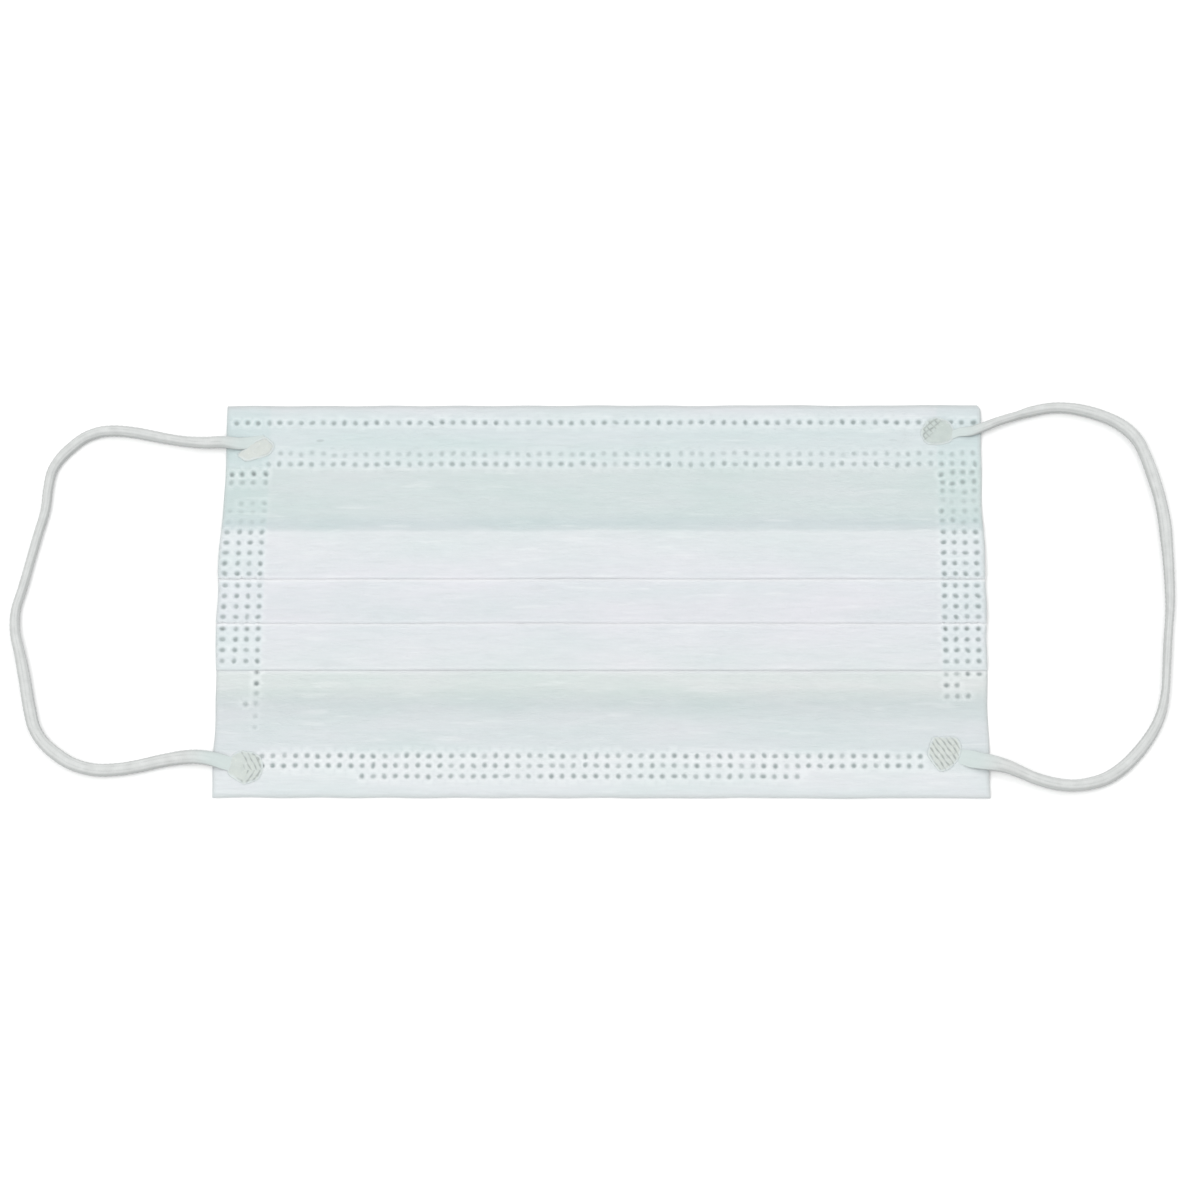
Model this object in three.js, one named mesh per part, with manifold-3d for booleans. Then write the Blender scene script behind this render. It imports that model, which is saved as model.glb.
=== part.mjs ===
// Surgical face mask lying flat: one pleated three-ply panel with hemmed top and bottom edges and
// welded side strips, a nose wire in the top hem, and two elastic ear loops on four weld pads.
//
// Millimetres, +Z up. +X runs along the width, +Y points to the nose edge, and the outer face
// looks up. The origin is at the middle of the panel, on the surface that the mask lies on.

import * as THREE from 'three';
import { mergeVertices } from 'three/addons/utils/BufferGeometryUtils.js';
import Module from 'manifold-3d';

// ---- driving dimensions ---------------------------------------------------------------------

const WIDTH = 175;                 // panel, side edge to side edge
const HEIGHT = 95;                 // panel, nose edge to chin edge, pleats closed
const WALL = 1.0;                  // the laminate of three plies
const LAYER_GAP = 0.12;            // between two layers that lie on each other
const PIECE_GAP = 0.3;             // between two separate pieces

const TOP_HEM = 14.8;              // the flap that is folded behind the nose edge
const BOTTOM_HEM = 11.0;           // the flap that is folded behind the chin edge

const SIDE_WELD = 8.0;             // strip at each side where every layer is fused
const SIDE_RAMP = 3.0;             // width over which the loose layers come down to the strip
const SIDE_OVERLAP = 1.0;          // how far the loose layers reach into the fused ones
const SKIN = 0.02;                 // how far the fused layers cover the loose ones at the ramp
const TIP_STEP = 0.02;             // from a fold's tip to the foot of the step that it makes there

const CROWN = 0.5;                 // how much higher the pleats spring at mid width

const WIRE = { length: 133, width: 3.0, thickness: 0.5, y: 39.5 };
const WIRE_RELIEF_END = 3.5;       // length over which the relief fades past the wire's ends
const WIRE_RELIEF_SIDE = 1.6;      // and the same beside the wire

const CORD = { diameter: 2.6, sides: 8, step: 2.5 };   // step is in diameters
const PAD_THICKNESS = 1.1;
const FOLD_STEPS = 4;              // facets round one fold

const LAYERS_END = WIDTH / 2 - SIDE_WELD - SIDE_RAMP + SIDE_OVERLAP;

// One row per pleat, from the nose edge down. front and back are the y of its two fold lines,
// and rise is the height of the middle of the upper layer at the front fold.
const PLEATS = [
  { front: 4.7, back: 17.0, rise: 4.95 },
  { front: -6.0, back: 4.2, rise: 4.65 },
  { front: -17.2, back: -7.2, rise: 3.30 },
];

// The stretches between two folds that are not straight, as the y and the height of the middle of
// the layer, without the nose wire's relief.
const NOSE_PANEL = [
  { y: 32.2, z: 1.62 },            // clears the free edge of the top hem
  { y: 29.4, z: 0.5 },
  { y: 24.6, z: 0.5 },
  { y: 17.4, z: 2.80 },            // over the first back fold
];
const THIRD_PANEL = [
  { y: -4.9, z: 2.35 },            // under the second front fold
  { y: -8.4, z: 2.90 },            // over the third back fold
];
const CHIN_PANEL = [
  { y: -16.1, z: 0.95 },           // under the third front fold
  { y: -19.6, z: 1.35 },
  { y: -22.6, z: 1.20 },
  { y: -27.2, z: 0.5 },
  { y: -33.4, z: 0.5 },
  { y: -36.0, z: 1.62 },           // onto the bottom hem
];
const PANELS_ABOVE_PLEATS = [NOSE_PANEL, [], THIRD_PANEL];

// Height of the fused side strip, by y.
const SIDE_STRIP = [
  { y: 47.5, top: 1.6 },
  { y: 32.2, top: 1.6 },
  { y: 29.4, top: 1.0 },
  { y: 22.0, top: 1.0 },
  { y: 17.0, top: 2.2 },
  { y: -17.2, top: 2.2 },
  { y: -18.2, top: 1.3 },
  { y: -24.0, top: 1.0 },
  { y: -33.4, top: 1.0 },
  { y: -36.0, top: 1.6 },
  { y: -47.5, top: 1.6 },
];

// Where the pleated panel's cross-section is set out, by distance from mid width.
const WIRE_END = WIRE.length / 2;
const STATIONS = [0, 30, 52, WIRE_END, WIRE_END + WIRE_RELIEF_END, LAYERS_END];

// One row per weld pad: its middle, and its corners from there, anticlockwise.
const PADS = [
  {
    name: 'weld_pad_top_left', x: -80.4, y: 37.1,
    corners: [[4.4, 0.8], [2.0, 3.1], [-1.4, 1.4], [-4.7, -1.7], [-2.4, -3.5], [3.3, -1.7]],
  },
  {
    name: 'weld_pad_bottom_left', x: -80.4, y: -40.6,
    corners: [[4.4, -0.2], [3.9, 2.4], [2.2, 3.8], [-1.3, 4.2], [-3.4, 2.6], [-3.9, -1.5], [0.1, -4.1],
      [3.4, -2.8]],
  },
  {
    name: 'weld_pad_top_right', x: 77.4, y: 41.4,
    corners: [[4.3, -0.6], [3.3, 2.1], [0.1, 3.5], [-2.2, 2.8], [-4.0, -0.6], [-2.7, -3.4], [0.3, -3.7],
      [3.3, -3.0]],
  },
  {
    name: 'weld_pad_bottom_right', x: 77.5, y: -36.6,
    corners: [[3.9, 1.5], [3.0, 3.6], [-2.7, 3.7], [-4.1, -0.7], [-1.3, -4.9], [0.7, -4.5], [2.6, -2.7],
      [3.6, -0.9]],
  },
];

// The two loops' routes, each from its upper pad to its lower pad.
const LEFT_ROUTE = [
  [-84.2, 38.1, 3.2], [-88.2, 38.3, 3.1], [-91.6, 38.1, 2.3], [-95.6, 38.4, 1.6],
  [-100.1, 39.1, 1.35], [-104.6, 40.0, 1.35], [-109.1, 40.9, 1.35], [-113.5, 41.3, 1.35],
  [-117.0, 41.0, 1.35], [-120.5, 39.6, 1.35], [-123.5, 37.1, 1.35], [-126.0, 34.3, 1.35],
  [-127.6, 31.3, 1.35], [-128.3, 27.0, 1.35], [-128.7, 21.5, 1.35], [-130.1, 15.4, 1.35],
  [-131.5, 9.0, 1.35], [-132.9, 2.4, 1.35], [-134.2, -3.2, 1.35], [-134.0, -8.4, 1.35],
  [-132.6, -13.8, 1.35], [-131.2, -19.8, 1.35], [-129.8, -26.4, 1.35], [-128.4, -31.3, 1.35],
  [-126.3, -34.6, 1.35], [-123.6, -37.1, 1.35], [-119.4, -39.8, 1.35], [-114.2, -41.2, 1.35],
  [-109.0, -41.1, 1.35], [-104.2, -40.3, 1.35], [-99.6, -39.2, 1.4], [-95.6, -38.5, 1.6],
  [-91.6, -38.3, 2.3], [-88.2, -38.6, 3.1], [-84.7, -39.4, 3.2],
];
const RIGHT_ROUTE = [
  [82.2, 40.8, 3.2], [85.2, 41.0, 3.2], [88.4, 42.0, 3.1], [91.8, 43.3, 2.3],
  [95.7, 44.7, 1.6], [99.6, 46.0, 1.35], [103.6, 46.8, 1.35], [107.6, 46.8, 1.35],
  [111.6, 46.1, 1.35], [115.4, 44.9, 1.35], [118.8, 43.3, 1.35], [121.6, 41.2, 1.35],
  [123.7, 38.6, 1.35], [125.3, 34.9, 1.35], [126.8, 30.0, 1.35], [128.1, 24.8, 1.35],
  [129.0, 19.0, 1.35], [129.4, 12.5, 1.35], [129.6, 5.5, 1.35], [129.5, -2.0, 1.35],
  [128.8, -9.0, 1.35], [128.2, -16.0, 1.35], [127.6, -22.5, 1.35], [126.6, -27.2, 1.35],
  [125.1, -30.8, 1.35], [123.0, -34.2, 1.35], [120.2, -37.7, 1.35], [117.0, -40.8, 1.35],
  [113.4, -43.1, 1.35], [109.5, -44.3, 1.35], [105.6, -44.7, 1.35], [101.6, -44.2, 1.35],
  [97.6, -43.0, 1.4], [94.4, -41.7, 1.8], [91.4, -40.5, 2.5], [88.4, -39.6, 3.1],
  [85.2, -38.9, 3.2], [82.0, -38.0, 3.2],
];

// ---- materials ------------------------------------------------------------------------------

const fabric = new THREE.MeshStandardMaterial({ color: 0xdfe6e8, roughness: 0.9, metalness: 0 });
const elastic = new THREE.MeshStandardMaterial({ color: 0xdadbdb, roughness: 0.85, metalness: 0 });
const weldedPad = new THREE.MeshStandardMaterial({ color: 0xd5dcd2, roughness: 0.5, metalness: 0 });
const wireSheath = new THREE.MeshStandardMaterial({ color: 0xf0f0ee, roughness: 0.4, metalness: 0 });

// ---- the laminate's cross-section -----------------------------------------------------------

const LAYER = WALL + LAYER_GAP;            // from one layer's middle to the next
const FOLD_RADIUS = LAYER / 2;             // of the middle of the wall, round a fold
const FOLD_REACH = FOLD_RADIUS + WALL / 2; // from a fold's centre to its outside
const GROUND = WALL / 2;                   // middle of a layer that lies on the surface

const wasm = await Module();
wasm.setup();

// Half a circle round a fold, in the direction of travel: side is +1 where the fold points to +Y,
// and climb is +1 where the path leaves on the layer above.
function foldPoints(centreY, centreZ, side, climb) {
  const points = [];
  for (let i = 0; i <= FOLD_STEPS; i++) {
    const angle = (-0.5 + i / FOLD_STEPS) * Math.PI;
    points.push(new THREE.Vector2(
      centreY + side * FOLD_RADIUS * Math.cos(angle),
      centreZ + climb * FOLD_RADIUS * Math.sin(angle),
    ));
  }
  return points;
}

// The nose wire lifts the layer over it, for the part of the width that it runs through.
function wireRelief(x) {
  const past = (Math.abs(x) - WIRE_END) / WIRE_RELIEF_END;
  const lift = 2 * PIECE_GAP + WIRE.thickness - LAYER_GAP;
  const half = WIRE.width / 2 + PIECE_GAP;
  const height = lift * (1 - THREE.MathUtils.clamp(past, 0, 1));
  const flat = GROUND + LAYER;
  return [
    new THREE.Vector2(WIRE.y + half + WIRE_RELIEF_SIDE, flat),
    new THREE.Vector2(WIRE.y + half, flat + height),
    new THREE.Vector2(WIRE.y - half, flat + height),
    new THREE.Vector2(WIRE.y - half - WIRE_RELIEF_SIDE, flat),
  ];
}

// The middle of the wall at one distance from mid width, from the free edge of the top hem, up
// round the nose edge, down through the three pleats, and round the chin edge to the bottom hem.
function centreLine(x) {
  const crown = CROWN * (1 - (x / LAYERS_END) ** 2);
  const asPoints = (rows) => rows.map((row) => new THREE.Vector2(row.y, row.z));
  const edge = HEIGHT / 2 - FOLD_REACH;
  const hemMiddle = GROUND + FOLD_RADIUS;

  const line = [new THREE.Vector2(HEIGHT / 2 - TOP_HEM, GROUND)];
  line.push(...foldPoints(edge, hemMiddle, 1, 1));
  line.push(...wireRelief(x));
  PLEATS.forEach((pleat, index) => {
    const top = pleat.rise + crown * (pleat.rise - GROUND) / (PLEATS[0].rise - GROUND);
    line.push(...asPoints(PANELS_ABOVE_PLEATS[index]));
    line.push(...foldPoints(pleat.front + FOLD_REACH, top - FOLD_RADIUS, -1, -1));
    line.push(...foldPoints(pleat.back - FOLD_REACH, hemMiddle, 1, -1));
  });
  line.push(...asPoints(CHIN_PANEL));
  line.push(...foldPoints(-edge, hemMiddle, -1, -1));
  line.push(new THREE.Vector2(BOTTOM_HEM - HEIGHT / 2, GROUND));
  return line;
}

// The closed outline of the wall: the line moved half a wall to both of its sides.
function wallOutline(line) {
  const sides = [[], []];
  line.forEach((point, i) => {
    const before = line[Math.max(i - 1, 0)];
    const after = line[Math.min(i + 1, line.length - 1)];
    const into = point.clone().sub(before).normalize();
    const out = after.clone().sub(point).normalize();
    const along = into.clone().add(out).normalize();
    const normal = new THREE.Vector2(-along.y, along.x).multiplyScalar(WALL / 2);
    sides[0].push(point.clone().add(normal));
    sides[1].push(point.clone().sub(normal));
  });
  return [...sides[0], ...sides[1].reverse()];
}

// ---- solids ---------------------------------------------------------------------------------

// A closed geometry through sections of equal length, each a list of Vector2 (y, z) at its own x,
// in the order of their x.
function loft(sections) {
  if (THREE.ShapeUtils.isClockWise(sections[0].points)) {
    sections.forEach(({ points }) => points.reverse());
  }
  const count = sections[0].points.length;
  const positions = sections.flatMap(({ x, points }) => points.flatMap((p) => [x, p.x, p.y]));
  const index = [];
  for (let s = 0; s + 1 < sections.length; s++) {
    for (let i = 0; i < count; i++) {
      const j = (i + 1) % count;
      const a = s * count + i;
      const b = s * count + j;
      index.push(a, b, b + count);
      index.push(a, b + count, a + count);
    }
  }
  const cap = THREE.ShapeUtils.triangulateShape(sections[0].points, []);
  const last = (sections.length - 1) * count;
  for (const [a, b, c] of cap) {
    index.push(a, c, b);
    index.push(last + a, last + b, last + c);
  }
  const geometry = new THREE.BufferGeometry();
  geometry.setAttribute('position', new THREE.Float32BufferAttribute(positions, 3));
  geometry.setIndex(index);
  return geometry;
}

function toManifold(geometry) {
  const bare = geometry.clone();
  bare.deleteAttribute('normal');
  bare.deleteAttribute('uv');
  const merged = mergeVertices(bare);
  return new wasm.Manifold(new wasm.Mesh({
    numProp: 3,
    vertProperties: new Float32Array(merged.attributes.position.array),
    triVerts: new Uint32Array(merged.index.array),
  }));
}

function fromManifold(solid) {
  const mesh = solid.getMesh();
  const geometry = new THREE.BufferGeometry();
  geometry.setAttribute('position', new THREE.Float32BufferAttribute(mesh.vertProperties, 3));
  geometry.setIndex(new THREE.Uint32BufferAttribute(mesh.triVerts, 1));
  geometry.computeVertexNormals();
  return geometry;
}

// The loose layers between the two side strips.
function pleatedLayers() {
  const mirrored = STATIONS.slice(1).reverse().map((x) => -x);
  const sections = [...mirrored, ...STATIONS].map((x) => ({ x, points: wallOutline(centreLine(x)) }));
  return loft(sections);
}

// The highest point of an outline at one y.
function topOf(outline, y) {
  let top = 0;
  outline.forEach((a, i) => {
    const b = outline[(i + 1) % outline.length];
    const share = (y - a.x) / (b.x - a.x);
    if (share >= 0 && share <= 1) {
      top = Math.max(top, a.y + share * (b.y - a.y));
    }
  });
  return top;
}

// The height of the fused strip at one y.
function stripTop(y) {
  const after = SIDE_STRIP.findIndex((row) => row.y <= y);
  const lower = SIDE_STRIP[Math.max(after, 1)];
  const upper = SIDE_STRIP[Math.max(after, 1) - 1];
  return THREE.MathUtils.mapLinear(y, upper.y, lower.y, upper.top, lower.top);
}

// One fused side strip: it covers the ends of the loose layers, comes down over the ramp, and
// runs flat to the side edge.
function sideStrip(side) {
  const outline = wallOutline(centreLine(LAYERS_END));
  const steps = PLEATS.flatMap(({ front }) => [front + TIP_STEP, front - TIP_STEP]);
  const turns = [...NOSE_PANEL, ...THIRD_PANEL.slice(1), ...CHIN_PANEL.slice(1)].map((row) => row.y);
  const folds = PLEATS.map(({ front }) => front + FOLD_REACH);
  const edge = HEIGHT / 2;
  const rows = [edge, edge - FOLD_REACH, ...turns, ...steps, ...folds, FOLD_REACH - edge, -edge];
  rows.sort((a, b) => b - a);

  const hem = GROUND + LAYER + WALL / 2;
  const loose = (y) => Math.max(topOf(outline, y), Math.abs(y) > edge - FOLD_REACH ? hem : 0) + SKIN;
  const profile = (height) => [
    new THREE.Vector2(-edge, 0),
    new THREE.Vector2(edge, 0),
    ...rows.map((y) => new THREE.Vector2(y, height(y))),
  ];
  const sections = [
    { x: LAYERS_END - SIDE_OVERLAP, points: profile(loose) },
    { x: LAYERS_END, points: profile(loose) },
    { x: WIDTH / 2 - SIDE_WELD, points: profile(stripTop) },
    { x: WIDTH / 2, points: profile(stripTop) },
  ];
  const placed = sections.map(({ x, points }) => ({ x: side * x, points }));
  return loft(side > 0 ? placed : placed.reverse());
}

function pleatedPanel() {
  const layers = toManifold(pleatedLayers());
  const left = toManifold(sideStrip(-1));
  const right = toManifold(sideStrip(1));
  const mesh = new THREE.Mesh(fromManifold(layers.add(left).add(right)), fabric);
  mesh.name = 'pleated_panel';
  return mesh;
}

function noseWire() {
  const radius = WIRE.width / 2;
  const reach = WIRE.length / 2 - radius;
  const shape = new THREE.Shape();
  shape.absarc(reach, 0, radius, -Math.PI / 2, Math.PI / 2, false);
  shape.absarc(-reach, 0, radius, Math.PI / 2, 1.5 * Math.PI, false);
  shape.closePath();
  const options = { depth: WIRE.thickness, bevelEnabled: false, curveSegments: 6 };
  const mesh = new THREE.Mesh(new THREE.ExtrudeGeometry(shape, options), wireSheath);
  mesh.position.set(0, WIRE.y, WALL + PIECE_GAP);
  mesh.name = 'nose_wire';
  return mesh;
}

// A weld pad is a low prism with flat sides, just over the hem.
function weldPad({ name, x, y, corners }) {
  const shape = new THREE.Shape(corners.map(([across, up]) => new THREE.Vector2(across, up)));
  const options = { depth: PAD_THICKNESS, bevelEnabled: false };
  const mesh = new THREE.Mesh(new THREE.ExtrudeGeometry(shape, options), weldedPad);
  mesh.position.set(x, y, 2 * WALL + LAYER_GAP + SKIN + PIECE_GAP);
  mesh.name = name;
  return mesh;
}

function earLoop(name, route) {
  const curve = new THREE.CatmullRomCurve3(route.map(([x, y, z]) => new THREE.Vector3(x, y, z)));
  const section = [];
  for (let i = 0; i < CORD.sides; i++) {
    const angle = ((i + 0.5) / CORD.sides) * 2 * Math.PI;
    section.push(new THREE.Vector2(Math.cos(angle), Math.sin(angle)).multiplyScalar(CORD.diameter / 2));
  }
  const steps = Math.round(curve.getLength() / (CORD.step * CORD.diameter));
  const options = { steps, extrudePath: curve, bevelEnabled: false };
  const mesh = new THREE.Mesh(new THREE.ExtrudeGeometry(new THREE.Shape(section), options), elastic);
  mesh.name = name;
  return mesh;
}

const mask = new THREE.Group();
mask.add(pleatedPanel(), noseWire());
mask.add(...PADS.map(weldPad));
mask.add(earLoop('ear_loop_left', LEFT_ROUTE), earLoop('ear_loop_right', RIGHT_ROUTE));

export default mask;
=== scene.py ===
"""Surgical face mask lying flat on a pale floor, seen from above the chin edge.

Lengths in the tables are millimetres unless a table says metres; every mesh is made in metres.
"""

import math

import bpy
import numpy as np
from mathutils import Matrix, Vector
from mathutils.geometry import delaunay_2d_cdt
from numpy.linalg import norm


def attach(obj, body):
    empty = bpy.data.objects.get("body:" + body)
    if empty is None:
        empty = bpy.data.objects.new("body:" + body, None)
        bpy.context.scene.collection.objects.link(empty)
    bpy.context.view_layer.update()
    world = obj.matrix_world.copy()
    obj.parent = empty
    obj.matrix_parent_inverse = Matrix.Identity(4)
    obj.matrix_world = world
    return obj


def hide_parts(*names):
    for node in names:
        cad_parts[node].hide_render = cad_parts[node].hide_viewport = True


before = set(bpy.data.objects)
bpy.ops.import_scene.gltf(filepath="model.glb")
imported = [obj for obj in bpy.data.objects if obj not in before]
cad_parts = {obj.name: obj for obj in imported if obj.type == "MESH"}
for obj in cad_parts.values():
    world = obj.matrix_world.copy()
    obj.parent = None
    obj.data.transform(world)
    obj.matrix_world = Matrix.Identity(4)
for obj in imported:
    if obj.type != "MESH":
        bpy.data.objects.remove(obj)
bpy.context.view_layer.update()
MM = 0.001

# ---- dimensions

HALF_WIDTH = 87.5
HALF_HEIGHT = 47.5
TOP_ALLOWANCE = 0.45  # the folded top edge stands this much higher in the photo
WALL = 0.42  # the laminate as it shows
PRESSED_LAYER = 0.45  # from one layer's middle to the next where they are fused
LOOSE_LAYER = 0.49  # and where they lie loose
GROUND = WALL / 2
FOLD_STEPS = 10
LINE_STEP = 0.4  # between two points of the sheet's middle line
TOP_HEM_EDGE = 32.7
BOTTOM_HEM_EDGE = -36.5
HEM_SPANS = (30, 24)  # both layers of the top and the bottom hem, along the sheet

STRIP_START = 77.6  # the side strips are fused outside this distance from mid width
RAMP = 4.0  # width of the slope down to them
CROWN = 0.25  # how much higher the pleats stand at mid width

WIRE_Y = 39.5
WIRE_LEFT, WIRE_RIGHT = -65.6, 67.2
WIRE_LIFT = 0.36  # height of its relief in the outer face

# One row per pleat: the y of its front and back fold, and the height of the upper layer's middle
# at the front fold where the layers lie loose and where they are fused.
PLEATS = [(4.5, 17.0, 2.10, 1.92), (-6.2, 3.8, 1.90, 1.78), (-17.3, -7.4, 1.22, 1.13)]
# Between two folds: y, the height of the layer's middle where it is loose, and where it is fused.
NOSE_PANEL = [
    (46.0, 0.74, 0.67), (43.4, 0.66, 0.66), (41.6, 0.78, 0.66), (37.4, 0.78, 0.66),
    (35.8, 0.66, 0.66), (32.6, 0.66, 0.66), (30.6, 0.27, 0.24), (24.6, 0.25, 0.21),
    (17.6, 1.10, 1.06),
]
THIRD_PANEL = [(-5.1, 0.88, 0.86), (-8.6, 1.22, 1.14)]
CHIN_PANEL = [
    (-16.1, 0.21, 0.21), (-19.8, 0.58, 0.26), (-22.8, 0.46, 0.22), (-27.2, 0.23, 0.21),
    (-33.8, 0.22, 0.21), (-36.4, 0.66, 0.66), (-43.2, 0.66, 0.66), (-45.6, 0.75, 0.67),
]
PANELS = [NOSE_PANEL, [], THIRD_PANEL]

# ---- the two ear loops' routes

# From the upper to the lower pad, as the CAD model lays them. A loop lies on the floor between
# the first and the last heights.
LEFT_ROUTE = [
    (-78.5, 39.8), (-81.2, 38.9), (-84.2, 38.1), (-88.2, 38.3), (-91.6, 38.1), (-95.6, 38.4),
    (-100.1, 39.1), (-104.6, 40), (-109.1, 40.9), (-113.5, 41.3), (-117, 41), (-120.5, 39.6),
    (-123.5, 37.1), (-126, 34.3), (-127.6, 31.3), (-128.3, 27), (-128.7, 21.5), (-130.1, 15.4),
    (-131.5, 9), (-132.9, 2.4), (-134.2, -3.2), (-134, -8.4), (-132.6, -13.8), (-131.2, -19.8),
    (-129.8, -26.4), (-128.4, -31.3), (-126.3, -34.6), (-123.6, -37.1), (-119.4, -39.8),
    (-114.2, -41.2), (-109, -41.1), (-104.2, -40.3), (-99.6, -39.2), (-95.6, -38.5),
    (-91.6, -38.3), (-88.2, -38.6), (-84.7, -39.4), (-82.4, -40),
]
LEFT_HEIGHTS = ([1.7, 1.8, 3.2, 3.1, 2.3, 1.6], [1.4, 1.6, 2.3, 3.1, 3.2, 1.8])
RIGHT_ROUTE = [
    (79, 38.8), (82.2, 40.8), (85.2, 41), (88.4, 42), (91.8, 43.3), (95.7, 44.7), (99.6, 46),
    (103.6, 46.8), (107.6, 46.8), (111.6, 46.1), (115.4, 44.9), (118.8, 43.3), (121.6, 41.2),
    (123.7, 38.6), (125.3, 34.9), (126.8, 30), (128.1, 24.8), (129, 19), (129.4, 12.5),
    (129.6, 5.5), (129.5, -2), (128.8, -9), (128.2, -16), (127.6, -22.5), (126.6, -27.2),
    (125.1, -30.8), (123, -34.2), (120.2, -37.7), (117, -40.8), (113.4, -43.1), (109.5, -44.3),
    (105.6, -44.7), (101.6, -44.2), (97.6, -43), (94.4, -41.7), (91.4, -40.5), (88.4, -39.6),
    (85.2, -38.9), (82, -38), (79.7, -37.4),
]
RIGHT_HEIGHTS = ([1.6, 3.2, 3.2, 3.1, 2.3, 1.6], [1.4, 1.8, 2.5, 3.1, 3.2, 3.2, 1.8])
CORD_LIE = 1.35  # height of a cord's middle on the floor
CORD_DIAMETER = 0.0026
CORD_SIDES = 32
CORD_RING = 0.00032  # between two rings of the tube
CORD_WALES = 8  # knitted ribs round the cord
CORD_TWIST = 85  # millimetres of cord in which the ribs turn by one radian
RIB_RELIEF = 0.11
STITCH_RELIEF, STITCH_LENGTH = 0.035, 1.15
YARN_LENGTH = 0.57  # of the finer loops in its material
MELT_FADE = (5.0, 13.0)  # distance from an end where its melted look starts and stops fading

# ---- the weld pads: middle, corners from there (anticlockwise), as in the CAD model

PADS = {
    "top_left": ((-80.4, 37.1), [
        (4.4, 0.8), (2.0, 3.1), (-1.4, 1.4), (-4.7, -1.7), (-2.4, -3.5), (3.3, -1.7)]),
    "bottom_left": ((-80.4, -40.6), [
        (4.4, -0.2), (3.9, 2.4), (2.2, 3.8), (-1.3, 4.2), (-3.4, 2.6), (-3.9, -1.5), (0.1, -4.1),
        (3.4, -2.8)]),
    "top_right": ((77.4, 41.4), [
        (4.3, -0.6), (3.3, 2.1), (0.1, 3.5), (-2.2, 2.8), (-4.0, -0.6), (-2.7, -3.4), (0.3, -3.7),
        (3.3, -3.0)]),
    "bottom_right": ((77.5, -36.6), [
        (3.9, 1.5), (3.0, 3.6), (-2.7, 3.7), (-4.1, -0.7), (-1.3, -4.9), (0.7, -4.5), (2.6, -2.7),
        (3.6, -0.9)]),
}
PAD_HEIGHT = 0.24
PAD_RIM = 0.03  # height of the pad's edge
PAD_SHOULDER = 1.1  # how far from its edge a pad reaches its full height
PAD_GRID = 0.11


# ---- helpers


def smooth(start, end, value):
    """0 before start, 1 after end, and smooth between them; end may be below start."""
    t = np.clip((np.asarray(value, float) - start) / (end - start), 0, 1)
    return t * t * (3 - 2 * t)


def bell(value, middle, width):
    """1 at the middle, falling smoothly to both sides."""
    return np.exp(-(((value - middle) / width) ** 2))


def ripples(seed, count, long_wave, cross_wave):
    """A smooth random height of about -1 to 1 over (along, across), made of plane waves."""
    random = np.random.default_rng(seed)
    along = math.tau / random.uniform(*long_wave, count) * random.choice([-1, 1], count)
    across = math.tau / random.uniform(*cross_wave, count)
    phase = random.uniform(0, math.tau, count)

    def height(a, b):
        total = np.zeros(np.broadcast(a, b).shape)
        for ka, kb, p in zip(along, across, phase):
            total += np.cos(ka * a + kb * b + p)
        return total / math.sqrt(count)

    return height


def mesh_object(name, points, faces, attributes=(), uvs=None):
    """A smooth-shaded mesh object; attributes have one value per point."""
    mesh = bpy.data.meshes.new(name)
    mesh.from_pydata([tuple(p) for p in points], [], faces)
    mesh.update()
    mesh.shade_smooth()
    for label, values in dict(attributes).items():
        layer = mesh.attributes.new(label, "FLOAT", "POINT")
        layer.data.foreach_set("value", np.asarray(values, np.float32))
    if uvs is not None:
        layer = mesh.uv_layers.new(name="uv")
        layer.data.foreach_set("uv", np.asarray(uvs, np.float32).ravel())
    piece = bpy.data.objects.new(name, mesh)
    bpy.context.scene.collection.objects.link(piece)
    return piece


def catmull_rom(points, per_span):
    """Points on a centripetal curve through the given ones."""
    p = np.asarray(points, float)
    p = np.vstack([2 * p[0] - p[1], p, 2 * p[-1] - p[-2]])
    out = []
    for a, b, c, d in zip(p, p[1:], p[2:], p[3:]):
        k = [0.0]
        for start, end in ((a, b), (b, c), (c, d)):
            k.append(k[-1] + math.sqrt(norm(end - start)))
        for j in range(per_span):
            t = k[1] + (k[2] - k[1]) * j / per_span

            def part(start, end, p, q):
                return (end - t) / (end - start) * p + (t - start) / (end - start) * q

            ab, bc, cd = part(k[0], k[1], a, b), part(k[1], k[2], b, c), part(k[2], k[3], c, d)
            abc, bcd = part(k[0], k[2], ab, bc), part(k[1], k[3], bc, cd)
            out.append(part(k[1], k[2], abc, bcd))
    out.append(p[-2])
    return np.array(out)


def run(points):
    """The distance along a line of each of its points."""
    return np.concatenate([[0], np.cumsum(norm(np.diff(points, axis=0), axis=1))])


def points_at(at, along, points):
    return np.stack([np.interp(at, along, column) for column in points.T], -1)


def even_steps(points, step):
    """The same line at even steps, and the distance along it of each point."""
    along = run(points)
    at = np.linspace(0, along[-1], int(round(along[-1] / step)) + 1)
    return points_at(at, along, points), at


def triangles(points, epsilon):
    """Flat points, and the triangles between them."""
    made = delaunay_2d_cdt([Vector(p) for p in points], [], [], 0, epsilon)
    return np.array([tuple(p) for p in made[0]]), np.array(made[2])


# ---- camera

CAMERA_DISTANCE = 0.93
CAMERA_ELEVATION, CAMERA_AZIMUTH, CAMERA_ROLL = 70.2, 3.5, -3.3
CAMERA_TARGET = Vector((-0.0004, 0.0, 0.0))
CAMERA_LENS = 121.9


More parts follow.
